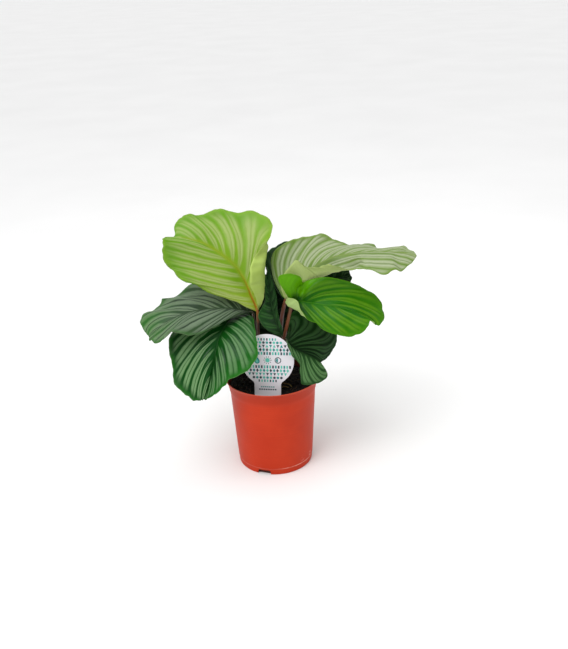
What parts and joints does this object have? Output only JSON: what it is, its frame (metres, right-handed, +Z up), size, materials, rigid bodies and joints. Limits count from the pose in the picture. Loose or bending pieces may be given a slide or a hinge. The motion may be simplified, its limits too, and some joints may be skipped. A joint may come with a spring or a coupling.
{
  "type": "potted calathea orbifolia",
  "caption": "Potted prayer plant with broad round leaves in silver-green stripes, reddish stalks, dark soil, a white plant tag and a round tapered orange-red nursery pot.",
  "frame": {"origin": "on the pot's axis at the level its foot ring stands on", "axes": "+Z up, +X to the right of the view from the front, +Y away from it"},
  "size_m": [0.3481, 0.1418, 0.3328],
  "materials": {
    "pot": "satin moulded polypropylene, orange-red",
    "soil": "moist dark peat",
    "plant_tag": "thin white printed plastic",
    "leaf_1": "young light yellow-green blade, satin",
    "leaf_2": "grey-green striped blade, satin",
    "leaf_3": "dark green blade with silver stripes, satin",
    "leaf_4": "pale green striped blade with a sheen, satin",
    "leaf_5": "bright green striped blade, satin",
    "leaf_6": "very dark green striped blade, satin",
    "leaf_7": "dark narrow twisted blade, satin",
    "leaf_8": "dark green back blade, satin",
    "leaf_9": "dark green back blade, satin",
    "petiole_1": "reddish-brown living stalk, satin",
    "petiole_2": "reddish-brown living stalk, satin",
    "petiole_3": "reddish-brown living stalk, satin",
    "petiole_4": "reddish-brown living stalk, satin",
    "petiole_5": "reddish-brown living stalk, satin",
    "petiole_6": "reddish-brown living stalk, satin",
    "petiole_7": "reddish-brown living stalk, satin",
    "petiole_8": "reddish-brown living stalk, satin",
    "petiole_9": "reddish-brown living stalk, satin"
  },
  "bodies": {
    "root": {"pot": "pot", "soil": "soil", "plant_tag": "plant_tag", "leaf_1": "leaf_1", "leaf_2": "leaf_2", "leaf_3": "leaf_3", "leaf_4": "leaf_4", "leaf_5": "leaf_5", "leaf_6": "leaf_6", "leaf_7": "leaf_7", "leaf_8": "leaf_8", "leaf_9": "leaf_9", "petiole_1": "petiole_1", "petiole_2": "petiole_2", "petiole_3": "petiole_3", "petiole_4": "petiole_4", "petiole_5": "petiole_5", "petiole_6": "petiole_6", "petiole_7": "petiole_7", "petiole_8": "petiole_8", "petiole_9": "petiole_9"}
  },
  "joints": []
}
